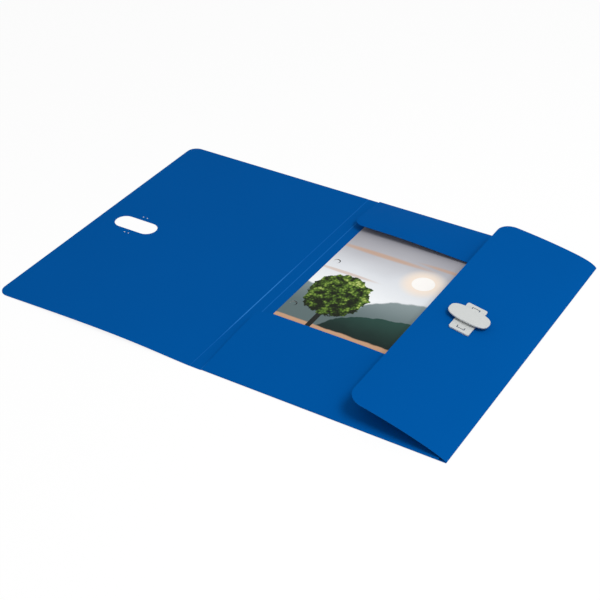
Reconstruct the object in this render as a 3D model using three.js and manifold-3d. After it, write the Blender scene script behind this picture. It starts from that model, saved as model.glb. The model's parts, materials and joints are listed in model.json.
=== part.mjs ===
// Three flap folder for A4 papers, lying open with its side flap folded over.
// Millimetres. X runs across the open folder, Y along its creases, Z up.
// The origin is the centre of the folder's footprint, on the surface it lies on.

import * as THREE from 'three';
import { mergeVertices } from 'three/addons/utils/BufferGeometryUtils.js';
import Module from 'manifold-3d';

const wasm = await Module();
wasm.setup();

// The blank: one sheet of polypropylene board, creased between its panels
const folderHeight = 320;
const coverWidth = 218;
const spineWidth = 11.5;
const backWidth = 235;
const boardThickness = 0.6;
const creaseGap = 0.3;
const creaseGrooveWidth = 1.1;
const creaseGrooveDepth = 0.25;

// Front cover: rounded free corners and a near edge that bows up off the table
const coverCornerRadius = 11;
const coverBow = 3;
const coverBowPeak = 0.4;
const coverBowFade = 4;

// Top and bottom flaps, folded over the back panel with their free edges lifted
const foldGap = 0.9;
const bottomFlapDepth = 90.5;
const bottomFlapLift = 7.8;
const bottomFlapLiftReach = 150;
const topFlapDepth = 58.7;
const topFlapLift = 6;
const topFlapLiftStart = 60;
const topFlapLiftReach = 200;
const topFlapSpring = 0.8;
const endFlapLeftInset = 1.5;
const endFlapRightInset = 6.5;
const endFlapTaper = 1.5;
const endFlapCornerRadius = 11;
const liftPower = 1.6;

// Side flap, folded over from the right-hand crease, angles in degrees
const sideFlapWidth = 95;
const sideFlapCreaseInset = 0.8;
const sideFlapEdgeInset = 6.3;
const sideFlapCornerRadius = 15;
const nearBaseAngle = 17.5;
const farBaseAngle = 15.5;
const freeEdgeAngle = 7.5;
const nearCreaseAngle = 13;
const farCreaseAngle = 31;
const creaseCurlLength = 7;

// Clasp: a turn button on a moulded plate
const claspDistance = 61.2;
const claspPlateWidth = 19.8;
const claspPlateLength = 40.6;
const claspPlateThickness = 1.3;
const claspPlateCornerRadius = 2;
const collarRadius = 8.6;
const collarHeight = 0.5;
const slotOffset = 15.2;
const slotWidth = 8;
const slotDepth = 3.4;
const slotCut = 0.9;
const buttonLength = 39.6;
const buttonWidth = 19.5;
const buttonFullness = 2.8;
const buttonThickness = 1.9;
const buttonRounding = 0.7;
const neckRadius = 6.8;
const neckHeight = 2.3;
const postRadius = 3.9;
const runningClearance = 0.3;
const retainerRadius = 8.5;
const retainerThickness = 1;
const rivetRadius = 5.4;
const rivetThickness = 0.8;

// Cut-out in the cover that the button passes through, and the small holes beside it.
// It lies a little farther out than the button, which leaves play for a fuller folder.
const cutoutClearance = 0.8;
const cutoutEndClearance = 4.1;
const cutoutLead = 2.6;
const smallHoleRadius = 0.9;
const smallHoleSpacing = 4.7;
const smallHoleOffset = 15.9;

// A4 sheets
const paperWidth = 210;
const paperHeight = 297;
const paperThickness = 0.5;
const paperInset = 10.7;
const paperShift = 4;
const punchRadius = 3;
const punchSpacing = 80;
const punchEdgeDistance = 7;
const punchDepth = 0.3;

// Places worked out from the sizes above
const openWidth = coverWidth + spineWidth + backWidth;
const coverEdgeX = -openWidth / 2;
const coverCreaseX = coverEdgeX + coverWidth;
const spineCreaseX = coverCreaseX + spineWidth;
const flapCreaseX = spineCreaseX + backWidth;
const nearY = -folderHeight / 2;
const farY = folderHeight / 2;
const foldRadius = foldGap / 2;
const flapUnderside = boardThickness + foldGap;
const cutAbove = 60;

const boardBlue = new THREE.Color('#00529b');
const polypropylene = { roughness: 0.5, metalness: 0 };
const clampUnit = (value) => Math.min(1, Math.max(0, value));
const mix = (from, to, share) => from + (to - from) * share;
const smooth = (value) => clampUnit(value) ** 2 * (3 - 2 * clampUnit(value));
const radians = THREE.MathUtils.degToRad;

function solidFrom(geometry) {
  geometry.deleteAttribute('normal');
  geometry.deleteAttribute('uv');
  const merged = mergeVertices(geometry, 1e-5);
  return new wasm.Manifold(new wasm.Mesh({
    numProp: 3,
    vertProperties: new Float32Array(merged.attributes.position.array),
    triVerts: new Uint32Array(merged.index.array),
  }));
}

function geometryFrom(solid) {
  const mesh = solid.getMesh();
  const geometry = new THREE.BufferGeometry();
  geometry.setAttribute('position', new THREE.BufferAttribute(new Float32Array(mesh.vertProperties), 3));
  geometry.setIndex(new THREE.BufferAttribute(new Uint32Array(mesh.triVerts), 1));
  geometry.computeVertexNormals();
  return geometry;
}

function range(from, to, count) {
  return Array.from({ length: count + 1 }, (_, index) => mix(from, to, index / count));
}

// A thin sheet: a box with a station in X and Y for each bend, its faces placed by a rule
function bentSheet(across, along, place) {
  const sheet = new THREE.BoxGeometry(1, 1, 1, across.length - 1, along.length - 1, 1);
  const position = sheet.attributes.position;
  for (let index = 0; index < position.count; index += 1) {
    const column = Math.round((position.getX(index) + 0.5) * (across.length - 1));
    const row = Math.round((position.getY(index) + 0.5) * (along.length - 1));
    const point = place(across[column], along[row], position.getZ(index) > 0);
    position.setXYZ(index, point.x, point.y, point.z);
  }
  return solidFrom(sheet);
}

// The points of an outline without the near-repeats where its arcs and lines meet
function distinctPoints(points) {
  return points.filter((point, index) => {
    const before = points[(index + points.length - 1) % points.length];
    return point.distanceTo(before) > boardThickness / 1000;
  });
}

function raised(points, bottom, top) {
  const shape = new THREE.Shape(distinctPoints(points));
  const geometry = new THREE.ExtrudeGeometry(shape, { depth: top - bottom, bevelEnabled: false });
  geometry.translate(0, 0, bottom);
  return solidFrom(geometry);
}

function prism(shape, bottom, top, curveSegments = 10) {
  const drawn = shape.extractPoints(curveSegments);
  const cuts = drawn.holes.map((hole) => raised(hole, bottom - 1, top + 1));
  return cuts.reduce((solid, cut) => solid.subtract(cut), raised(drawn.shape, bottom, top));
}

function block(low, high) {
  const geometry = new THREE.BoxGeometry(high.x - low.x, high.y - low.y, high.z - low.z);
  geometry.translate((low.x + high.x) / 2, (low.y + high.y) / 2, (low.z + high.z) / 2);
  return solidFrom(geometry);
}

function circle(x, y, radius, target = new THREE.Path()) {
  target.absarc(x, y, radius, 0, Math.PI * 2, false);
  return target;
}

// A slot with round ends whose long side lies along X
function roundEndedSlot(x, y, length, width, target = new THREE.Path()) {
  const straight = (length - width) / 2;
  target.absarc(x + straight, y, width / 2, -Math.PI / 2, Math.PI / 2, false);
  target.absarc(x - straight, y, width / 2, Math.PI / 2, Math.PI * 1.5, false);
  return target;
}

// A closed outline through corners, each rounded by its own radius
function roundedOutline(corners) {
  const shape = new THREE.Shape();
  corners.forEach((corner, index) => {
    const before = corners[(index + corners.length - 1) % corners.length];
    const after = corners[(index + 1) % corners.length];
    const here = new THREE.Vector2(corner.x, corner.y);
    const back = new THREE.Vector2(before.x, before.y).sub(here).normalize();
    const ahead = new THREE.Vector2(after.x, after.y).sub(here).normalize();
    const halfAngle = Math.acos(back.dot(ahead)) / 2;
    const trim = corner.radius / Math.tan(halfAngle);
    const start = here.clone().addScaledVector(back, trim);
    const end = here.clone().addScaledVector(ahead, trim);
    if (index === 0) shape.moveTo(start.x, start.y);
    else shape.lineTo(start.x, start.y);
    if (corner.radius > 0) {
      const inward = back.clone().add(ahead).normalize();
      const centre = here.clone().addScaledVector(inward, corner.radius / Math.sin(halfAngle));
      const from = Math.atan2(start.y - centre.y, start.x - centre.x);
      const to = Math.atan2(end.y - centre.y, end.x - centre.x);
      shape.absarc(centre.x, centre.y, corner.radius, from, to, false);
    }
  });
  shape.closePath();
  return shape;
}

// The pressed crease: a shallow V along the whole height, shared by the panels on its two sides
function creaseGroove(creaseX) {
  const shape = new THREE.Shape();
  shape.moveTo(creaseX - creaseGrooveWidth / 2, boardThickness + 0.01);
  shape.lineTo(creaseX, boardThickness - creaseGrooveDepth);
  shape.lineTo(creaseX + creaseGrooveWidth / 2, boardThickness + 0.01);
  shape.closePath();
  const geometry = new THREE.ExtrudeGeometry(shape, { depth: folderHeight + 2, bevelEnabled: false });
  geometry.rotateX(Math.PI / 2);
  geometry.translate(0, farY + 1, 0);
  return solidFrom(geometry);
}

// Side flap: the sheet's path away from its crease, as distance along the board
function sideFlapAngle(distance, y) {
  const share = (y - nearY) / folderHeight;
  const base = mix(nearBaseAngle, farBaseAngle, share);
  const straight = mix(base, freeEdgeAngle, distance / sideFlapWidth);
  const curl = mix(nearCreaseAngle, farCreaseAngle, share) * Math.exp(-distance / creaseCurlLength);
  return radians(straight + curl);
}

function sideFlapPoint(distance, y) {
  const steps = 60;
  const stride = distance / steps;
  let x = flapCreaseX - boardThickness * Math.sin(sideFlapAngle(0, y));
  let z = boardThickness + creaseGap;
  for (let step = 0; step < steps; step += 1) {
    const angle = sideFlapAngle(stride * (step + 0.5), y);
    x -= stride * Math.cos(angle);
    z += stride * Math.sin(angle);
  }
  return { x, z, angle: sideFlapAngle(distance, y) };
}

// Where the clasp sits on the side flap, and the frame it is built in
const claspSeat = sideFlapPoint(claspDistance, 0);
const claspFrame = new THREE.Group();
claspFrame.position.set(
  claspSeat.x + boardThickness * Math.sin(claspSeat.angle),
  0,
  claspSeat.z + boardThickness * Math.cos(claspSeat.angle),
);
claspFrame.rotation.y = claspSeat.angle;
claspFrame.updateMatrixWorld(true);

const plateBottom = runningClearance;
const plateTop = plateBottom + claspPlateThickness;
const neckBottom = plateTop + collarHeight + runningClearance;
const buttonBottom = plateTop + neckHeight;
const buttonTop = buttonBottom + buttonThickness;
const retainerTop = -boardThickness - runningClearance;
const retainerBottom = retainerTop - retainerThickness;
const rivetTop = retainerBottom - runningClearance;
const rivetBottom = rivetTop - rivetThickness;
const postHoleRadius = postRadius + runningClearance;

function frontCover() {
  const across = range(coverEdgeX, coverCreaseX - creaseGap / 2, 24);
  const along = range(nearY, farY, 10);
  const bow = (x, y) => {
    const fromCrease = (coverCreaseX - x) / coverWidth;
    const side = fromCrease < coverBowPeak ? fromCrease / coverBowPeak : (1 - fromCrease) / (1 - coverBowPeak);
    const nearness = (farY - y) / folderHeight;
    return coverBow * Math.sin(clampUnit(side) * Math.PI / 2) ** 1.2 * nearness ** coverBowFade;
  };
  const board = bentSheet(across, along, (x, y, upper) => ({
    x, y, z: bow(x, y) + (upper ? boardThickness : 0),
  }));
  const outline = roundedOutline([
    { x: coverEdgeX, y: nearY, radius: coverCornerRadius },
    { x: coverCreaseX + 1, y: nearY, radius: 0 },
    { x: coverCreaseX + 1, y: farY, radius: 0 },
    { x: coverEdgeX, y: farY, radius: coverCornerRadius },
  ]);
  const cutoutLength = buttonLength + 2 * cutoutEndClearance;
  const cutoutWidth = buttonWidth + 2 * cutoutClearance;
  const cutoutX = coverCreaseX - (backWidth - claspDistance) - cutoutLead;
  outline.holes.push(roundEndedSlot(cutoutX, 0, cutoutLength, cutoutWidth));
  for (const side of [-1, 1]) {
    for (const half of [-0.5, 0.5]) {
      outline.holes.push(circle(cutoutX + half * smallHoleSpacing, side * smallHoleOffset, smallHoleRadius));
    }
  }
  return board.intersect(prism(outline, -1, cutAbove)).subtract(creaseGroove(coverCreaseX));
}

function spineStrip() {
  const low = new THREE.Vector3(coverCreaseX + creaseGap / 2, nearY, 0);
  const high = new THREE.Vector3(spineCreaseX - creaseGap / 2, farY, boardThickness);
  return block(low, high).subtract(creaseGroove(coverCreaseX)).subtract(creaseGroove(spineCreaseX));
}

// How far a folded flap stands off its fold, by distance from the side crease and from the fold
const liftShare = (fromFold, depth) => 1 - (1 - clampUnit(fromFold / depth)) ** liftPower;

function bottomLift(x, fromFold) {
  const reach = clampUnit((flapCreaseX - x) / bottomFlapLiftReach);
  return bottomFlapLift * Math.sin(reach * Math.PI / 2) * liftShare(fromFold, bottomFlapDepth);
}

function topLift(x, fromFold) {
  const fromCrease = flapCreaseX - x;
  const rise = smooth((fromCrease - topFlapLiftStart) / (topFlapLiftReach - topFlapLiftStart));
  const spring = topFlapSpring * clampUnit(fromCrease / (topFlapLiftStart / 2));
  return (spring + topFlapLift * rise) * liftShare(fromFold, topFlapDepth);
}

// The developed path of the folded back: bottom flap, fold, panel, fold, top flap
function foldedPath() {
  const foldInset = boardThickness + foldRadius;
  const stations = [];
  for (const depth of range(bottomFlapDepth, foldInset, 10)) {
    stations.push({ y: nearY + depth, z: flapUnderside, outY: 0, outZ: 1, lift: (x) => bottomLift(x, depth - foldInset) });
  }
  for (const turn of range(Math.PI / 2, Math.PI * 1.5, 6).slice(1, -1)) {
    stations.push({
      y: nearY + foldInset + foldRadius * Math.cos(turn), z: boardThickness + foldRadius + foldRadius * Math.sin(turn),
      outY: Math.cos(turn), outZ: Math.sin(turn), lift: () => 0,
    });
  }
  stations.push({ y: nearY + foldInset, z: boardThickness, outY: 0, outZ: -1, lift: () => 0 });
  stations.push({ y: farY - foldInset, z: boardThickness, outY: 0, outZ: -1, lift: () => 0 });
  for (const turn of range(-Math.PI / 2, Math.PI / 2, 6).slice(1, -1)) {
    stations.push({
      y: farY - foldInset + foldRadius * Math.cos(turn), z: boardThickness + foldRadius + foldRadius * Math.sin(turn),
      outY: Math.cos(turn), outZ: Math.sin(turn), lift: () => 0,
    });
  }
  for (const depth of range(foldInset, topFlapDepth, 8)) {
    stations.push({ y: farY - depth, z: flapUnderside, outY: 0, outZ: 1, lift: (x) => topLift(x, depth - foldInset) });
  }
  return stations;
}

// What trims a folded flap to its outline: a block over the flap less the outline's prism
function flapTrim(foldY, depth, inward) {
  const left = spineCreaseX + endFlapLeftInset;
  const right = flapCreaseX - endFlapRightInset;
  const freeY = foldY + inward * depth;
  const beyondY = foldY - inward * 5;
  const corners = [
    { x: left, y: beyondY, radius: 0 },
    { x: right, y: beyondY, radius: 0 },
    { x: right - endFlapTaper, y: freeY, radius: endFlapCornerRadius },
    { x: left + endFlapTaper, y: freeY, radius: endFlapCornerRadius },
  ];
  if (inward < 0) corners.reverse();
  const bottom = boardThickness;
  const low = new THREE.Vector3(spineCreaseX - 2, Math.min(beyondY + inward, freeY + inward * 2), bottom);
  const high = new THREE.Vector3(flapCreaseX + 2, Math.max(beyondY + inward, freeY + inward * 2), cutAbove / 2);
  return block(low, high).subtract(prism(roundedOutline(corners), -1, cutAbove));
}

function backPanel() {
  const stations = foldedPath();
  const across = range(spineCreaseX + creaseGap / 2, flapCreaseX, 20);
  const board = bentSheet(across, stations, (x, station, inner) => {
    const offset = inner ? 0 : boardThickness;
    return {
      x,
      y: station.y + station.outY * offset,
      z: station.z + station.outZ * offset + station.lift(x),
    };
  });
  return board
    .subtract(flapTrim(nearY, bottomFlapDepth, 1))
    .subtract(flapTrim(farY, topFlapDepth, -1))
    .subtract(creaseGroove(spineCreaseX));
}

function sideFlap() {
  const distances = [...range(sideFlapWidth * 1.06, sideFlapWidth / 4, 10).slice(0, -1), ...range(sideFlapWidth / 4, 0, 9)];
  const board = bentSheet(distances, range(nearY, farY, 12), (distance, y, outer) => {
    const point = sideFlapPoint(distance, y);
    const offset = outer ? boardThickness : 0;
    return { x: point.x + offset * Math.sin(point.angle), y, z: point.z + offset * Math.cos(point.angle) };
  });
  const freeX = flapCreaseX - sideFlapWidth;
  const outline = roundedOutline([
    { x: freeX, y: nearY + sideFlapEdgeInset, radius: sideFlapCornerRadius },
    { x: flapCreaseX + 1, y: nearY + sideFlapCreaseInset, radius: 0 },
    { x: flapCreaseX + 1, y: farY - sideFlapCreaseInset, radius: 0 },
    { x: freeX, y: farY - sideFlapEdgeInset, radius: sideFlapCornerRadius },
  ]);
  const hole = new THREE.CylinderGeometry(postHoleRadius, postHoleRadius, boardThickness * 10, 28);
  hole.rotateX(Math.PI / 2);
  hole.applyMatrix4(claspFrame.matrixWorld);
  return board.intersect(prism(outline, -1, cutAbove)).subtract(solidFrom(hole));
}

// The U-shaped cut that frees a springy tongue in each end of the plate
function tongueSlot(side) {
  const path = new THREE.Path();
  const half = slotWidth / 2;
  const outerY = side * (slotOffset + slotDepth / 2);
  const innerY = side * (slotOffset - slotDepth / 2);
  path.moveTo(-half, innerY);
  path.lineTo(-half, outerY);
  path.lineTo(half, outerY);
  path.lineTo(half, innerY);
  path.lineTo(half - slotCut, innerY);
  path.lineTo(half - slotCut, outerY - side * slotCut);
  path.lineTo(-half + slotCut, outerY - side * slotCut);
  path.lineTo(-half + slotCut, innerY);
  path.closePath();
  return path;
}

function claspPlate() {
  const halfWidth = claspPlateWidth / 2;
  const halfLength = claspPlateLength / 2;
  const radius = claspPlateCornerRadius;
  const outline = roundedOutline([
    { x: -halfWidth, y: -halfLength, radius },
    { x: halfWidth, y: -halfLength, radius },
    { x: halfWidth, y: halfLength, radius },
    { x: -halfWidth, y: halfLength, radius },
  ]);
  outline.holes.push(tongueSlot(-1), tongueSlot(1));
  const collar = circle(0, 0, collarRadius, new THREE.Shape());
  const bore = circle(0, 0, postHoleRadius, new THREE.Shape());
  return prism(outline, plateBottom, plateTop)
    .add(prism(collar, plateTop - 0.2, plateTop + collarHeight, 16))
    .subtract(prism(bore, plateBottom - 1, plateTop + collarHeight + 1, 16));
}

// An oval fuller than an ellipse, with blunt ends
function fullOval(length, width) {
  const bulge = (value) => Math.sign(value) * Math.abs(value) ** (2 / buttonFullness);
  const points = range(0, Math.PI * 2, 56).slice(0, -1).map((angle) => new THREE.Vector2(
    length / 2 * bulge(Math.cos(angle)), width / 2 * bulge(Math.sin(angle)),
  ));
  return new THREE.Shape(points);
}

function turnButton() {
  const oval = fullOval(buttonLength - 2 * buttonRounding, buttonWidth - 2 * buttonRounding);
  const head = new THREE.ExtrudeGeometry(oval, {
    depth: buttonThickness - 2 * buttonRounding, bevelEnabled: true, bevelThickness: buttonRounding,
    bevelSize: buttonRounding, bevelSegments: 3,
  });
  head.translate(0, 0, buttonBottom + buttonRounding);
  const stem = new THREE.LatheGeometry([
    new THREE.Vector2(0, rivetBottom),
    new THREE.Vector2(rivetRadius - 0.4, rivetBottom),
    new THREE.Vector2(rivetRadius, rivetBottom + 0.4),
    new THREE.Vector2(rivetRadius, rivetTop),
    new THREE.Vector2(postRadius, rivetTop),
    new THREE.Vector2(postRadius, neckBottom),
    new THREE.Vector2(neckRadius, neckBottom),
    new THREE.Vector2(neckRadius, buttonBottom + buttonThickness / 2),
    new THREE.Vector2(0, buttonBottom + buttonThickness / 2),
  ], 28);
  stem.rotateX(Math.PI / 2);
  return solidFrom(head).add(solidFrom(stem));
}

function retainingWasher() {
  const ring = circle(0, 0, retainerRadius, new THREE.Shape());
  ring.holes.push(circle(0, 0, postHoleRadius));
  return prism(ring, retainerBottom, retainerTop, 14);
}

// A4 stack: the upper sheets are punched, the lower ones close the holes
function paperStack() {
  const left = spineCreaseX + paperInset;
  const bottom = boardThickness + 0.2;
  const top = bottom + paperThickness;
  const low = new THREE.Vector3(left, paperShift - paperHeight / 2, bottom);
  const high = new THREE.Vector3(left + paperWidth, paperShift + paperHeight / 2, top);
  let stack = block(low, high);
  for (const side of [-0.5, 0.5]) {
    const hole = circle(left + punchEdgeDistance, paperShift + side * punchSpacing, punchRadius, new THREE.Shape());
    stack = stack.subtract(prism(hole, top - punchDepth, top + 1, 14));
  }
  return stack;
}

function part(name, solid, material) {
  const mesh = new THREE.Mesh(geometryFrom(solid), new THREE.MeshStandardMaterial(material));
  mesh.name = name;
  return mesh;
}

const folder = new THREE.Group();
folder.add(
  part('front_cover', frontCover(), { color: boardBlue, ...polypropylene }),
  part('spine', spineStrip(), { color: '#055599', ...polypropylene }),
  part('back_panel', backPanel(), { color: '#0353a4', ...polypropylene }),
  part('side_flap', sideFlap(), { color: boardBlue, ...polypropylene }),
  part('paper_sheets', paperStack(), { color: '#e9e9e6', roughness: 0.8, metalness: 0 }),
);
claspFrame.add(
  part('clasp_base', claspPlate(), { color: '#c7cac0', roughness: 0.45, metalness: 0 }),
  part('clasp_button', turnButton(), { color: '#cdcfd4', roughness: 0.4, metalness: 0 }),
  part('clasp_retainer', retainingWasher(), { color: '#c7cac0', roughness: 0.5, metalness: 0 }),
);
folder.add(claspFrame);

export default folder;
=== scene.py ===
import json
import math

import bmesh
import bpy
from mathutils import Matrix, Vector


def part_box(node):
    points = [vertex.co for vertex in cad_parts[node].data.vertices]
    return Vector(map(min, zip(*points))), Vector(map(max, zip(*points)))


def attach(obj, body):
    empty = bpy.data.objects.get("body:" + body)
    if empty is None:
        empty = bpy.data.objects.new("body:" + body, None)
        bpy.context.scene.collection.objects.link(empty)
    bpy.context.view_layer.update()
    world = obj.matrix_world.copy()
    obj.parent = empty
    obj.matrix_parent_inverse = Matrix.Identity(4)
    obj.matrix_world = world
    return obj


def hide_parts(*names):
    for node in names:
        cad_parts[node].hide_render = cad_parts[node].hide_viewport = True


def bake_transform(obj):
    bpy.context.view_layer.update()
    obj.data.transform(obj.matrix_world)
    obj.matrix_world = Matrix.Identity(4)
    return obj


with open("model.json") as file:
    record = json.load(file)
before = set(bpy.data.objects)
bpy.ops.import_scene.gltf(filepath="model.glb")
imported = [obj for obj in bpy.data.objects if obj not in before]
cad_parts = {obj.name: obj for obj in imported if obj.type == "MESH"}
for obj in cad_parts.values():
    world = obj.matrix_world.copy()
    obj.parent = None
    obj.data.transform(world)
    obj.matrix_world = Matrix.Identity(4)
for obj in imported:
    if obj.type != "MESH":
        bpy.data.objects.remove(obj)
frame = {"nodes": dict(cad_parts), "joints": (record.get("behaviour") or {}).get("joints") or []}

scene = bpy.context.scene
nodes = frame["nodes"]
joints = {joint["name"]: joint for joint in frame["joints"]}
mm = 0.001
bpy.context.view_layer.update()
print("frame loaded:", ", ".join(sorted(nodes)))

# Sockets of the Mix node in its colour form, where several share a name
mixFactor, mixFirst, mixSecond, mixColor = 0, 6, 7, 2


# Colours are written as sRGB hex and turned to linear here
def linearColor(hexText):
    channels = [int(hexText[start:start + 2], 16) / 255 for start in (1, 3, 5)]
    linear = [c / 12.92 if c <= 0.04045 else ((c + 0.055) / 1.055) ** 2.4 for c in channels]
    return (*linear, 1.0)


# Puts colours at their places along a ramp
def setStops(ramp, stops):
    while len(ramp.elements) < len(stops):
        ramp.elements.new(1.0)
    for element, (place, color) in zip(ramp.elements, stops):
        element.position = place
        element.color = linearColor(color)


# Adds one node with its settings; a value that is another node's output is linked instead
def addNode(tree, kind, values=None):
    node = tree.nodes.new(kind)
    for name, value in (values or {}).items():
        if isinstance(value, bpy.types.NodeSocket):
            tree.links.new(value, node.inputs[name])
        elif name == "color_ramp":
            setStops(node.color_ramp, value)
        elif isinstance(name, str) and hasattr(node, name):
            setattr(node, name, value)
        else:
            node.inputs[name].default_value = value
    return node


def newMaterial(name):
    material = bpy.data.materials.new(name)
    material.use_nodes = True
    material.node_tree.nodes.clear()
    return material, material.node_tree


# Extruded polypropylene board: a satin sheet with the fine grain of the embossing roller
boardLook = {
    "color": "#00529c",
    "deepColor": "#005098",
    "edgeHighlightColor": "#1560ab",           # painted highlight: die-cut edges are coloured paler than the sheet
    "creaseHighlightColor": "#2a78c2",         # painted highlight on a pressed crease, together with its whitening
    # the paler crease colours below are painted highlight too
    "softCreaseHighlightColor": "#0f5ca8",
    "spineCreaseHighlightColor": "#1a68b2",
    "ior": 1.49,
    "specular": 0.005,
    "roughness": (0.46, 0.55),        # least and most, following the grain
    "cloudSize": 90 * mm,             # slow change of colour across the sheet
    "cloudDetail": 2.0,
    "grainSize": 0.8 * mm,            # the roller's grain is about 0.3 mm, drawn coarser so that it shows
    "grainDetail": 3.0,
    "grainRoughness": 0.6,
    "grainHeight": 0.006 * mm,
    "grainStrength": 0.5,
    "edgeGrain": 0.4,                 # shares of the grain that are left on cut edges and creases
    "creaseGrain": 0.3,
    "highlightFrom": -70 * mm,           # stretch along the crease where the painted highlight is brightest
    "highlightTo": -15 * mm,
    "highlightFade": 45 * mm,
}


# How far the painted highlight of a crease has faded, from its brightest stretch to its ends
def fadeAlongCrease(tree, place):
    along = addNode(tree, "ShaderNodeSeparateXYZ", {"Vector": place}).outputs["Y"]
    fade = boardLook["highlightFade"]
    fades = []
    for worked, faded in ((boardLook["highlightFrom"], boardLook["highlightFrom"] - fade),
                          (boardLook["highlightTo"], boardLook["highlightTo"] + fade)):
        end = addNode(tree, "ShaderNodeMapRange", {"From Min": worked, "From Max": faded, "Value": along})
        fades.append(end.outputs["Result"])
    most = addNode(tree, "ShaderNodeMath", {"operation": "MAXIMUM", 0: fades[0], 1: fades[1]})
    return most.outputs["Value"]


def extrudedPolypropylene(name, color, deepColor, grainShare=1.0, fading=False):
    material, tree = newMaterial(name)
    place = addNode(tree, "ShaderNodeTexCoord").outputs["Object"]
    if fading:
        share = fadeAlongCrease(tree, place)
    else:
        clouds = addNode(tree, "ShaderNodeTexNoise",
                         {"Scale": 1 / boardLook["cloudSize"], "Detail": boardLook["cloudDetail"],
                          "Vector": place})
        share = clouds.outputs["Fac"]
    tint = addNode(tree, "ShaderNodeMix", {"data_type": "RGBA", mixFactor: share,
                                           mixFirst: linearColor(color), mixSecond: linearColor(deepColor)})
    grains = addNode(tree, "ShaderNodeTexNoise",
                     {"Scale": 1 / boardLook["grainSize"], "Detail": boardLook["grainDetail"],
                      "Roughness": boardLook["grainRoughness"], "Vector": place}).outputs["Fac"]
    least, most = boardLook["roughness"]
    sheen = addNode(tree, "ShaderNodeMapRange", {"To Min": least, "To Max": most, "Value": grains})
    bump = addNode(tree, "ShaderNodeBump", {"Strength": boardLook["grainStrength"] * grainShare,
                                            "Distance": boardLook["grainHeight"], "Height": grains})
    shader = addNode(tree, "ShaderNodeBsdfPrincipled",
                     {"IOR": boardLook["ior"], "Specular IOR Level": boardLook["specular"],
                      "Base Color": tint.outputs[mixColor], "Roughness": sheen.outputs["Result"],
                      "Normal": bump.outputs["Normal"]})
    addNode(tree, "ShaderNodeOutputMaterial", {"Surface": shader.outputs["BSDF"]})
    return material


boardMaterial = extrudedPolypropylene("extruded polypropylene", boardLook["color"], boardLook["deepColor"])
# Painted highlight: the cut edges of the board in a paler blue
edgeHighlightMaterial = extrudedPolypropylene("die-cut polypropylene edge with painted highlight", boardLook["edgeHighlightColor"],
                                     boardLook["color"], boardLook["edgeGrain"])
# Painted highlight on the pressed creases: the cover crease fades from its brightest stretch, the spine
# crease stays even
creaseHighlightMaterial = extrudedPolypropylene("creased polypropylene", boardLook["creaseHighlightColor"],
                                       boardLook["softCreaseHighlightColor"], boardLook["creaseGrain"], fading=True)
softCreaseHighlightMaterial = extrudedPolypropylene("lightly creased polypropylene", boardLook["spineCreaseHighlightColor"],
                                           boardLook["softCreaseHighlightColor"], boardLook["creaseGrain"])


# Injection-moulded polypropylene of the clasp: pale grey, with the satin of a spark-eroded mould
claspLook = {
    "color": "#c8cac9",
    "shadeColor": "#bfc3c2",
    "ior": 1.49,
    "specular": 0.35,
    "roughness": 0.38,
    "grainSize": 0.5 * mm,            # coarser than the mould's grain, so that it shows
    "grainDetail": 4.0,
    "grainHeight": 0.008 * mm,
    "grainStrength": 0.5,
    "depthWeight": 0.06,              # light that enters the moulding and leaves close by
    "depthRadius": (0.002, 0.002, 0.002),
    "depthScale": 0.5,
}


def mouldedPolypropylene(name):
    material, tree = newMaterial(name)
    place = addNode(tree, "ShaderNodeTexCoord").outputs["Object"]
    grains = addNode(tree, "ShaderNodeTexNoise",
                     {"Scale": 1 / claspLook["grainSize"], "Detail": claspLook["grainDetail"],
                      "Vector": place}).outputs["Fac"]
    tint = addNode(tree, "ShaderNodeMix", {"data_type": "RGBA", mixFactor: grains,
                                           mixFirst: linearColor(claspLook["shadeColor"]),
                                           mixSecond: linearColor(claspLook["color"])})
    bump = addNode(tree, "ShaderNodeBump", {"Strength": claspLook["grainStrength"],
                                            "Distance": claspLook["grainHeight"], "Height": grains})
    shader = addNode(tree, "ShaderNodeBsdfPrincipled",
                     {"IOR": claspLook["ior"], "Specular IOR Level": claspLook["specular"],
                      "Roughness": claspLook["roughness"], "Subsurface Weight": claspLook["depthWeight"],
                      "Subsurface Radius": claspLook["depthRadius"],
                      "Subsurface Scale": claspLook["depthScale"],
                      "Base Color": tint.outputs[mixColor], "Normal": bump.outputs["Normal"]})
    addNode(tree, "ShaderNodeOutputMaterial", {"Surface": shader.outputs["BSDF"]})
    return material


claspMaterial = mouldedPolypropylene("moulded polypropylene")
print("board and clasp materials made")


def link(piece):
    scene.collection.objects.link(piece)
    return piece


def shadeSmooth(mesh, angle):
    for polygon in mesh.polygons:
        polygon.use_smooth = True
    mesh.set_sharp_from_angle(angle=angle)


# Applies what modifiers are on the piece, so that its mesh is the final one
def applyModifiers(piece):
    graph = bpy.context.evaluated_depsgraph_get()
    mesh = bpy.data.meshes.new_from_object(piece.evaluated_get(graph))
    piece.modifiers.clear()
    piece.data = mesh


weldReach = 0.002 * mm        # corners of a solid that lie closer than this are one
flatFaceWeight = 60           # how strongly large flat faces steer the shading beside them


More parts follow.
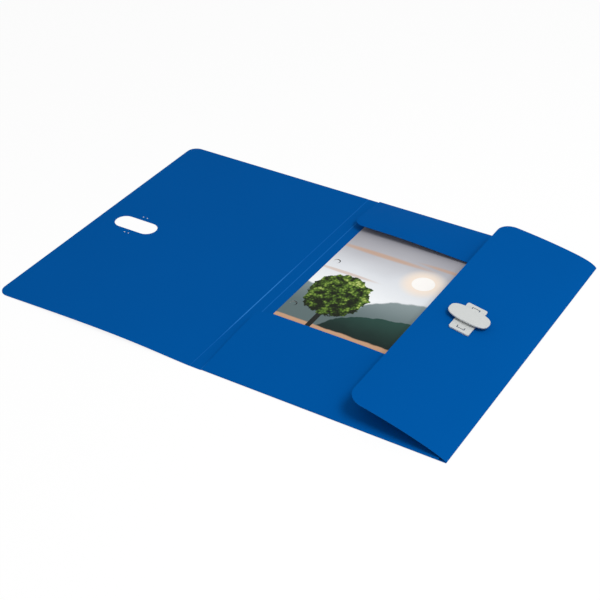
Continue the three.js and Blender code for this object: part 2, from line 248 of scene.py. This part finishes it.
# A copy of a solid with its sharp edges eased: the form stays, the edges catch light
def easedCopy(name, node, materials, ease, slotOf=None):
    mesh = nodes[node].data.copy()
    mesh.name = name
    mesh.materials.clear()
    for material in materials:
        mesh.materials.append(material)
    work = bmesh.new()
    work.from_mesh(mesh)
    bmesh.ops.remove_doubles(work, verts=work.verts, dist=weldReach)
    bmesh.ops.dissolve_limit(work, angle_limit=ease["flatAngle"], verts=work.verts, edges=work.edges)
    work.normal_update()
    for face in work.faces:
        face.material_index = slotOf(face) if slotOf else 0
    work.to_mesh(mesh)
    work.free()
    piece = link(bpy.data.objects.new(name, mesh))
    bevel = piece.modifiers.new("eased edge", "BEVEL")
    bevel.width = ease["width"]
    bevel.segments = ease["segments"]
    bevel.limit_method = "ANGLE"
    bevel.angle_limit = ease["sharpAngle"]
    bevel.use_clamp_overlap = True
    bevel.material = ease["edgeSlot"]
    applyModifiers(piece)
    shadeSmooth(piece.data, ease["smoothAngle"])
    weighted = piece.modifiers.new("even shading", "WEIGHTED_NORMAL")
    weighted.keep_sharp = True
    weighted.weight = flatFaceWeight
    applyModifiers(piece)
    return piece


# The edge and crease materials carry painted highlights
boardMaterials = (boardMaterial, edgeHighlightMaterial, creaseHighlightMaterial, softCreaseHighlightMaterial)
sheetSlot, edgeSlot, creaseHighlightSlot, softCreaseHighlightSlot = range(len(boardMaterials))

# Board cut by a die: the sheet of the frame with its cut edges eased and coloured paler as a painted
# highlight
boardEase = {
    "width": 0.11 * mm,
    "segments": 2,
    "flatAngle": math.radians(0.02),
    "sharpAngle": math.radians(50),
    "smoothAngle": math.radians(35),
    "edgeSlot": edgeSlot,
}

# Where the board's faces lie and how they face, as parts of a face's unit normal
boardZones = {
    "creaseHalf": 0.6 * mm,
    "creaseUp": 0.5,                  # a pressed crease's flanks face up by more than this
    "creaseAside": 0.3,               # and aside by more than this
    "edgeUp": 0.45,                   # a cut edge faces up or down by less than this
    "foldDepth": 3 * mm,              # the back's rounded folds lie this near its ends
    "foldAside": 0.7,                 # and face aside by less than this
}
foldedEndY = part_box("back_panel")[1].y - boardZones["foldDepth"]
coverCreaseX = joints["cover_hinge"]["pos_m"][0]
spineCreaseX = joints["spine_hinge"]["pos_m"][0]


# The material slot of one face of the board
def boardSlotOf(face, folded):
    up, aside, middle = abs(face.normal.z), abs(face.normal.x), face.calc_center_median()
    # crease flanks take the painted crease highlight, cut edges the painted edge highlight
    if face.normal.z > boardZones["creaseUp"] and aside > boardZones["creaseAside"]:
        for creaseX, slot in ((coverCreaseX, creaseHighlightSlot), (spineCreaseX, softCreaseHighlightSlot)):
            if abs(middle.x - creaseX) < boardZones["creaseHalf"]:
                return slot
    onFold = folded and abs(middle.y) > foldedEndY and aside < boardZones["foldAside"]
    return edgeSlot if up < boardZones["edgeUp"] and not onFold else sheetSlot


def dieCutBoard(name, node, body, folded=False):
    piece = easedCopy(name, node, boardMaterials, boardEase, lambda face: boardSlotOf(face, folded))
    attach(piece, body)
    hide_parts(node)


dieCutBoard("cover_board", "front_cover", "cover")
dieCutBoard("spine_board", "spine", "spine")
dieCutBoard("back_board", "back_panel", "back", folded=True)
dieCutBoard("side_flap_board", "side_flap", "flap")
print("boards made")


# The thinned board that is left in a pressed crease
creaseStrip = {
    "halfWidth": 0.5 * mm,
    "low": 0.12 * mm,
    "high": 0.42 * mm,
    "fall": 0.08 * mm,                # how far its shoulders lie below its crown
    "crown": 0.4,                     # share of its width that the crown takes
    "endInset": 0.3 * mm,
    "steps": 24,
    "smoothAngle": math.radians(32),
}


# A strip swept along Y, as far back as forward, from its section given as points in X and Z
def stripAlongY(name, section, reach, material):
    work = bmesh.new()
    rings = []
    for step in range(creaseStrip["steps"] + 1):
        y = -reach + 2 * reach * step / creaseStrip["steps"]
        rings.append([work.verts.new((x, y, z)) for x, z in section])
    for low, high in zip(rings, rings[1:]):
        for index in range(len(section)):
            after = (index + 1) % len(section)
            work.faces.new((low[index], low[after], high[after], high[index]))
    work.faces.new(reversed(rings[0]))
    work.faces.new(rings[-1])
    bmesh.ops.recalc_face_normals(work, faces=work.faces)
    mesh = bpy.data.meshes.new(name)
    work.to_mesh(mesh)
    work.free()
    shadeSmooth(mesh, creaseStrip["smoothAngle"])
    mesh.materials.append(material)
    return link(bpy.data.objects.new(name, mesh))


def pressedCrease(name, joint, material):
    middle = joints[joint]["pos_m"][0]
    half, low, high = creaseStrip["halfWidth"], creaseStrip["low"], creaseStrip["high"]
    shoulder = high - creaseStrip["fall"]
    crown = half * creaseStrip["crown"]
    section = [(middle - half, low), (middle + half, low), (middle + half, shoulder),
               (middle + crown, high), (middle - crown, high), (middle - half, shoulder)]
    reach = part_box("spine")[1].y - creaseStrip["endInset"]
    piece = stripAlongY(name, section, reach, material)
    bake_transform(piece)


pressedCrease("cover_crease", "cover_hinge", creaseHighlightMaterial)
pressedCrease("spine_crease", "spine_hinge", softCreaseHighlightMaterial)

# The rounded fold of the side flap's crease, from the back's edge up to the flap's
sideFold = {
    "outline": ((-0.5, 0.28), (-0.12, 0.3), (-0.02, 0.6), (-0.02, 0.9), (-0.14, 1.15), (-0.5, 1.1),
                (-0.3, 0.85), (-0.3, 0.6)),      # millimetres across from the hinge, and up
    "backTo": 0.55 * mm,              # height of the fold's part next to the back
    "flapFrom": 0.95 * mm,            # height of the fold's part next to the flap
}


def foldedCrease(name):
    right = joints["side_flap_hinge"]["pos_m"][0]
    section = [(right + x * mm, z * mm) for x, z in sideFold["outline"]]
    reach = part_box("side_flap")[1].y - creaseStrip["endInset"]
    piece = stripAlongY(name, section, reach, boardMaterial)
    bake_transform(piece)


foldedCrease("side_crease")
print("creases made")


# Clasp mouldings with the small edge radii of their mould
mouldEase = {
    "width": 0.22 * mm,
    "segments": 3,
    "flatAngle": math.radians(0.05),
    "sharpAngle": math.radians(55),
    "smoothAngle": math.radians(40),
    "edgeSlot": 0,
}


def moulding(name, node, body):
    piece = easedCopy(name, node, (claspMaterial,), mouldEase)
    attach(piece, body)
    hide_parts(node)


moulding("clasp_plate", "clasp_base", "flap")
moulding("turn_button", "clasp_button", "button")
moulding("retaining_washer", "clasp_retainer", "button")
print("clasp made")


# Five sheets: the upper three are punched, and each lies a little off the one below
sheetStack = {
    "sheets": 5,
    "punched": 3,
    "air": 0.015 * mm,
    "slips": ((0.0, 0.0), (0.25, 0.3), (0.1, 0.55), (0.5, 0.2), (0.35, 0.4)),    # millimetres
    "slipRoom": (0.5 * mm, 0.6 * mm),            # room in the stack's box for them, across and along
    "punchRadius": 3.0 * mm,
    "punchFromEdge": 7.0 * mm,
    "punchSpacing": 80.0 * mm,
    "circlePoints": 40,
    "topUp": 0.5,                     # a printed face looks up by at least this part of its normal
    "weldReach": 0.001 * mm,
}
sheetLow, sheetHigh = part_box("paper_sheets")
punchMiddle = (sheetHigh.y - sheetLow.y) / 2
punchPlaces = [(sheetStack["punchFromEdge"], punchMiddle + side * sheetStack["punchSpacing"])
               for side in (-0.5, 0.5)]          # from the stack's low corner

# Uncoated office paper: matt, with a faint unevenness of its fibres
paperLook = {
    "color": "#e4e3de",
    "roughness": 0.62,
    "specular": 0.12,
    "fibreSize": 0.9 * mm,            # clumps of fibre, since single ones are too fine to show
    "fibreDetail": 4.0,
    "fibreHeight": 0.01 * mm,
    "fibreStrength": 0.4,
}

# The print, a plain landscape. Its places and sizes are millimetres of the sheet, across from the
# left edge and up from the near one, and its noises swing by half a unit to either side of zero
warmInk = "#c69c7d"
printLook = {
    "noises": {
        "drift": {"size": 60, "detail": 2.0},
        "ridge": {"size": 16, "detail": 4.0},
        "leafEdge": {"size": 7, "detail": 5.0},
        "leafClump": {"size": 8, "detail": 5.0},
    },
    "sky": ((0.0, "#c9cdd2"), (0.36, "#dfe4e8"), (0.5, "#f1f4f6"), (0.63, "#dcdfe4"), (0.74, "#b4b4ba"),
            (0.84, "#98979e"), (1.0, "#8f8e96")),
    "skyDrift": 22.0,
    "hills": {                        # inks that grow paler with height
        "farHill": {"colors": ("#5d6d6e", "#8b999b"), "paler": (110, 168), "ridge": 0.0},
        "nearHill": {"colors": ("#0c1f1c", "#2a4b43"), "paler": (84, 142), "ridge": 0.24},
    },
    "leaf": ((0.0, "#0f1606"), (0.3, "#2b3d12"), (0.52, "#55742a"), (0.76, "#8ba047"), (1.0, "#cdd88a")),
    "leafSize": 2.6,
    "leafPaler": (108, 176),
    "leafLight": {"base": 0.5, "clump": 2.5, "gap": -0.7, "height": 0.35},     # weights of what lights them
    # From the back to the front; a form with no power of its own is an ellipse
    "forms": (
        {"ink": "#f6e6d6", "middle": (96, 196), "reach": (19, 19), "soft": 0.8},     # haze round the sun
        {"ink": "#fdfaf6", "middle": (96, 196), "reach": (11, 11), "soft": 0.06},    # low sun
        {"ink": warmInk, "middle": (40, 219), "reach": (46, 3.2), "soft": 0.9, "share": 0.7},    # clouds
        {"ink": warmInk, "middle": (112, 226), "reach": (30, 2.4), "soft": 0.9, "share": 0.6},
        {"ink": warmInk, "middle": (24, 176), "reach": (30, 2.2), "soft": 0.9, "share": 0.5},
        {"ink": "farHill", "middle": (128, 96), "reach": (74, 68), "power": 2.3, "soft": 0.05,
         "ragged": ("ridge", 0.3)},
        {"ink": "farHill", "middle": (8, 88), "reach": (62, 58), "power": 2.3, "soft": 0.05,
         "ragged": ("ridge", 0.3)},
        {"ink": "farHill", "middle": (222, 88), "reach": (66, 66), "power": 2.3, "soft": 0.05,
         "ragged": ("ridge", 0.3)},
        {"ink": "nearHill", "middle": (152, 62), "reach": (114, 72), "power": 2.6, "soft": 0.02,
         "ragged": ("ridge", 0.3)},
        {"ink": warmInk, "middle": (0, 0), "reach": (1, 90), "power": 1.0, "soft": 1 / 90,
         "bounds": (0, 1, 0), "ragged": ("ridge", 4.2 / 90)},                        # sand, bounded above
        {"ink": "#1b1e1c", "middle": (36, 100), "reach": (2.6, 26), "power": 4.0, "soft": 0.1},  # trunk
        {"ink": "leaf", "middle": (36, 140), "reach": (29, 33), "power": 2.2, "soft": 0.03,
         "ragged": ("leafEdge", 1.1)},                                               # crown
    ),
}

# Painted shadow: a dark crescent printed at the far rim of each punched hole, standing for the shade in the
# hole
holeShadowLook = {"ink": "#14171a", "shift": (0.35, 0.5), "radius": 3.4, "soft": 0.06}
holeShadowForms = [{"ink": holeShadowLook["ink"], "soft": holeShadowLook["soft"], "reach": (holeShadowLook["radius"], holeShadowLook["radius"]),
             "middle": (across / mm + holeShadowLook["shift"][0], along / mm + holeShadowLook["shift"][1])}
            for across, along in punchPlaces]


# A base level plus each part times its weight
def weighedLevel(tree, base, parts):
    level = base
    for part, weight in parts:
        level = addNode(tree, "ShaderNodeMath",
                        {"operation": "MULTIPLY_ADD", 0: part, 1: weight, 2: level}).outputs["Value"]
    return level


# One inside a form and zero outside it, with a soft and perhaps a ragged rim
def formMask(tree, sheetPlace, form, noises):
    power, soft = form.get("power", 2.0), form["soft"]
    offset = addNode(tree, "ShaderNodeMapping",
                     {"vector_type": "TEXTURE", "Vector": sheetPlace, "Location": (*form["middle"], 0),
                      "Scale": (*form["reach"], 1)})
    share = addNode(tree, "ShaderNodeVectorMath", {"operation": "ABSOLUTE", 0: offset.outputs["Vector"]})
    bent = addNode(tree, "ShaderNodeVectorMath",
                   {"operation": "POWER", 0: share.outputs["Vector"], 1: (power, power, 1)})
    total = addNode(tree, "ShaderNodeVectorMath",
                    {"operation": "DOT_PRODUCT", 0: bent.outputs["Vector"],
                     1: form.get("bounds", (1, 1, 0))})
    level = total.outputs["Value"]
    if "ragged" in form:
        noise, amount = form["ragged"]
        level = weighedLevel(tree, level, ((noises[noise], amount),))
    mask = addNode(tree, "ShaderNodeMapRange",
                   {"interpolation_type": "SMOOTHSTEP", "From Min": 1 + soft, "From Max": 1 - soft,
                    "To Max": form.get("share", 1.0), "Value": level})
    return mask.outputs["Result"]


# The inks that change over their form: hills that grow paler with height, and leaves in clumps
def shadedInks(tree, place, height, noises):
    spans = {name: hill["paler"] for name, hill in printLook["hills"].items()}
    spans["leaf"] = printLook["leafPaler"]
    rises = {}
    for name, (low, high) in spans.items():
        rise = addNode(tree, "ShaderNodeMapRange", {"interpolation_type": "SMOOTHSTEP", "From Min": low,
                                                    "From Max": high, "Value": height})
        rises[name] = rise.outputs["Result"]
    inks = {}
    for name, hill in printLook["hills"].items():
        dark, pale = (linearColor(color) for color in hill["colors"])
        share = weighedLevel(tree, rises[name], ((noises["ridge"], hill["ridge"]),))
        ink = addNode(tree, "ShaderNodeMix",
                      {"data_type": "RGBA", mixFactor: share, mixFirst: dark, mixSecond: pale})
        inks[name] = ink.outputs[mixColor]
    leaves = addNode(tree, "ShaderNodeTexVoronoi",
                     {"Scale": 1 / (printLook["leafSize"] * mm), "Randomness": 1.0, "Vector": place})
    light = printLook["leafLight"]
    level = weighedLevel(tree, light["base"], ((noises["leafClump"], light["clump"]),
                                               (leaves.outputs["Distance"], light["gap"]),
                                               (rises["leaf"], light["height"])))
    ramp = addNode(tree, "ShaderNodeValToRGB", {"color_ramp": printLook["leaf"], "Fac": level})
    inks["leaf"] = ramp.outputs["Color"]
    return inks


# The whole print as one colour: the sky, and each form laid over what is behind it
def printColor(tree, holeShadows):
    place = addNode(tree, "ShaderNodeTexCoord").outputs["Object"]
    sheetPlace = addNode(tree, "ShaderNodeMapping",
                         {"vector_type": "TEXTURE", "Vector": place,
                          "Location": (sheetLow.x, sheetLow.y, 0), "Scale": (mm, mm, mm)}).outputs["Vector"]
    height = addNode(tree, "ShaderNodeSeparateXYZ", {"Vector": sheetPlace}).outputs["Y"]
    noises = {}
    for name, look in printLook["noises"].items():
        noise = addNode(tree, "ShaderNodeTexNoise",
                        {"Scale": 1 / (look["size"] * mm), "Detail": look["detail"], "Vector": place})
        swing = addNode(tree, "ShaderNodeMath", {"operation": "SUBTRACT", 0: noise.outputs["Fac"], 1: 0.5})
        noises[name] = swing.outputs["Value"]
    inks = shadedInks(tree, place, height, noises)
    sheetLength = (sheetHigh.y - sheetLow.y) / mm
    skyHeight = weighedLevel(tree, 0.0, ((height, 1 / sheetLength),
                                         (noises["drift"], printLook["skyDrift"] / sheetLength)))
    sky = addNode(tree, "ShaderNodeValToRGB", {"color_ramp": printLook["sky"], "Fac": skyHeight})
    color = sky.outputs["Color"]
    # the painted hole shadows, when asked for, are laid last
    for form in [*printLook["forms"], *(holeShadowForms if holeShadows else ())]:
        ink = inks[form["ink"]] if form["ink"] in inks else linearColor(form["ink"])
        layer = addNode(tree, "ShaderNodeMix",
                        {"data_type": "RGBA", mixFactor: formMask(tree, sheetPlace, form, noises),
                         mixFirst: color, mixSecond: ink})
        color = layer.outputs[mixColor]
    return color


def officePaper(name, printed, holeShadows=False):
    material, tree = newMaterial(name)
    place = addNode(tree, "ShaderNodeTexCoord").outputs["Object"]
    fibres = addNode(tree, "ShaderNodeTexNoise",
                     {"Scale": 1 / paperLook["fibreSize"], "Detail": paperLook["fibreDetail"],
                      "Vector": place})
    bump = addNode(tree, "ShaderNodeBump",
                   {"Strength": paperLook["fibreStrength"], "Distance": paperLook["fibreHeight"],
                    "Height": fibres.outputs["Fac"]})
    color = printColor(tree, holeShadows) if printed else linearColor(paperLook["color"])
    shader = addNode(tree, "ShaderNodeBsdfPrincipled",
                     {"Base Color": color, "Roughness": paperLook["roughness"],
                      "Specular IOR Level": paperLook["specular"], "Normal": bump.outputs["Normal"]})
    addNode(tree, "ShaderNodeOutputMaterial", {"Surface": shader.outputs["BSDF"]})
    return material


# the top sheet carries the painted hole shadows
paperMaterials = (officePaper("printed and punched paper with painted hole shadows", True, holeShadows=True),
                  officePaper("printed paper", True),
                  officePaper("cut paper edge", False))
topSheetSlot, lowerSheetSlot, plainSlot = range(len(paperMaterials))
print("paper materials made")


# One flat sheet with its holes, between two heights
def flatSheet(corners, holes, low, high):
    outline = bpy.data.curves.new("sheet", "CURVE")
    outline.dimensions = "2D"
    outline.fill_mode = "BOTH"
    outline.extrude = (high - low) / 2
    for points in [corners, *holes]:
        spline = outline.splines.new("POLY")
        spline.points.add(len(points) - 1)
        for point, (x, y) in zip(spline.points, points):
            point.co = (x, y, 0, 1)
        spline.use_cyclic_u = True
    carrier = link(bpy.data.objects.new("sheet", outline))
    graph = bpy.context.evaluated_depsgraph_get()
    mesh = bpy.data.meshes.new_from_object(carrier.evaluated_get(graph))
    mesh.transform(Matrix.Translation((0, 0, (low + high) / 2)))
    bpy.data.objects.remove(carrier)
    work = bmesh.new()
    work.from_mesh(mesh)
    bmesh.ops.remove_doubles(work, verts=work.verts, dist=sheetStack["weldReach"])
    bmesh.ops.recalc_face_normals(work, faces=work.faces)
    work.to_mesh(mesh)
    work.free()
    return mesh


# The outline of one punched hole, placed from the stack's low corner
def punchedHole(across, along):
    points = sheetStack["circlePoints"]
    turns = [2 * math.pi * point / points for point in range(points)]
    return [(sheetLow.x + across + sheetStack["punchRadius"] * math.cos(turn),
             sheetLow.y + along + sheetStack["punchRadius"] * math.sin(turn)) for turn in turns]


def paperSheets(name):
    thickness = (sheetHigh.z - sheetLow.z) / sheetStack["sheets"]
    roomX, roomY = sheetStack["slipRoom"]
    firstPunched = sheetStack["sheets"] - sheetStack["punched"]
    work = bmesh.new()
    for index in range(sheetStack["sheets"]):
        slipX, slipY = (value * mm for value in sheetStack["slips"][index])
        left, right = sheetLow.x + slipX, sheetHigh.x - roomX + slipX
        near, far = sheetLow.y + slipY, sheetHigh.y - roomY + slipY
        holes = [punchedHole(*place) for place in punchPlaces] if index >= firstPunched else []
        bottom = sheetLow.z + index * thickness
        work.from_mesh(flatSheet([(left, near), (right, near), (right, far), (left, far)], holes,
                                 bottom, bottom + thickness - sheetStack["air"]))
    for face in work.faces:
        onTopSheet = face.calc_center_median().z > sheetHigh.z - thickness
        printedSlot = topSheetSlot if onTopSheet else lowerSheetSlot
        face.material_index = printedSlot if face.normal.z >= sheetStack["topUp"] else plainSlot
    mesh = bpy.data.meshes.new(name)
    work.to_mesh(mesh)
    work.free()
    for material in paperMaterials:
        mesh.materials.append(material)
    piece = link(bpy.data.objects.new(name, mesh))
    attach(piece, "back")
    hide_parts("paper_sheets")


paperSheets("sheet_stack")
print("paper made")


# Plain pale floor that shows white to the camera and keeps a soft shadow
floorLook = {"size": 60.0, "color": "#fcfcfc", "glow": 0.87, "drop": 0.05 * mm}
white = linearColor("#ffffff")


# One for what the camera sees straight on, in a gloss or through something clear
def seenShare(tree):
    path = addNode(tree, "ShaderNodeLightPath")
    seen = path.outputs["Is Camera Ray"]
    for ray in ("Is Glossy Ray", "Is Transmission Ray"):
        most = addNode(tree, "ShaderNodeMath", {"operation": "MAXIMUM", 0: seen, 1: path.outputs[ray]})
        seen = most.outputs["Value"]
    return seen


def studioFloor():
    mesh = bpy.data.meshes.new("floor")
    half = floorLook["size"] / 2
    corners = [(-half, -half), (half, -half), (half, half), (-half, half)]
    mesh.from_pydata([(x, y, -floorLook["drop"]) for x, y in corners], [], [(0, 1, 2, 3)])
    floor = link(bpy.data.objects.new("floor", mesh))
    material, tree = newMaterial("studio floor")
    matt = addNode(tree, "ShaderNodeBsdfDiffuse", {"Color": linearColor(floorLook["color"])})
    glow = addNode(tree, "ShaderNodeEmission", {"Color": white, "Strength": 1.0})
    share = addNode(tree, "ShaderNodeMath",
                    {"operation": "MULTIPLY", 0: seenShare(tree), 1: floorLook["glow"]})
    surface = addNode(tree, "ShaderNodeMixShader", {0: share.outputs["Value"], 1: matt.outputs["BSDF"],
                                                    2: glow.outputs["Emission"]})
    addNode(tree, "ShaderNodeOutputMaterial", {"Surface": surface.outputs["Shader"]})
    mesh.materials.append(material)


# Soft studio light: a pale room and two broad lamps, the key high on the right and a little in front
lightLook = {
    "room": 0.6,
    "aim": Vector((0.05, 0, 0)),
    "lamps": {
        "key": {"power": 11.4, "size": 0.55, "place": Vector((0.85, -0.2, 1.25))},
        "fill": {"power": 1.0, "size": 0.9, "place": Vector((-0.45, -1.25, 0.6))},
    },
}


def studioLights():
    world = bpy.data.worlds.new("studio room")
    scene.world = world
    world.use_nodes = True
    tree = world.node_tree
    tree.nodes.clear()
    # The camera sees the room as white, and the object is lit by its lower level
    level = addNode(tree, "ShaderNodeMapRange",
                    {"To Min": lightLook["room"], "To Max": 1.0, "Value": seenShare(tree)})
    room = addNode(tree, "ShaderNodeBackground", {"Color": white, "Strength": level.outputs["Result"]})
    addNode(tree, "ShaderNodeOutputWorld", {"Surface": room.outputs["Background"]})
    for name, look in lightLook["lamps"].items():
        lamp = bpy.data.lights.new(name, "AREA")
        lamp.energy = look["power"]
        lamp.size = look["size"]
        carrier = link(bpy.data.objects.new(name, lamp))
        carrier.location = look["place"]
        carrier.rotation_euler = (lightLook["aim"] - look["place"]).to_track_quat("-Z", "Y").to_euler()


# The photograph's view: 31.6 degrees round to the right of the near side, 35 degrees up
cameraLook = {
    "azimuth": math.radians(31.58),
    "elevation": math.radians(35.34),
    "roll": math.radians(-0.6),
    "target": Vector((16.96, -27.07, 0)) * mm,
    "distance": 1295.8 * mm,
    "focalPixels": 1407.0,
    "framePixels": 600,
    "sensor": 36.0,
    "farClip": 20.0,
}


def studioCamera():
    azimuth, elevation, roll = cameraLook["azimuth"], cameraLook["elevation"], cameraLook["roll"]
    back = Vector((math.sin(azimuth) * math.cos(elevation), -math.cos(azimuth) * math.cos(elevation),
                   math.sin(elevation)))
    level = Vector((math.cos(azimuth), math.sin(azimuth), 0))
    upright = back.cross(level)
    right = level * math.cos(roll) + upright * math.sin(roll)
    up = upright * math.cos(roll) - level * math.sin(roll)
    lens = bpy.data.cameras.new("camera")
    lens.sensor_fit = "HORIZONTAL"
    lens.sensor_width = cameraLook["sensor"]
    lens.lens = cameraLook["focalPixels"] / cameraLook["framePixels"] * cameraLook["sensor"]
    lens.clip_end = cameraLook["farClip"]
    camera = link(bpy.data.objects.new("camera", lens))
    turn = Matrix((right, up, back)).transposed().to_4x4()
    camera.matrix_world = Matrix.Translation(cameraLook["target"] + back * cameraLook["distance"]) @ turn
    scene.camera = camera


studioFloor()
studioLights()
studioCamera()
scene.view_settings.view_transform = "Standard"
print("stage, lights and camera set")
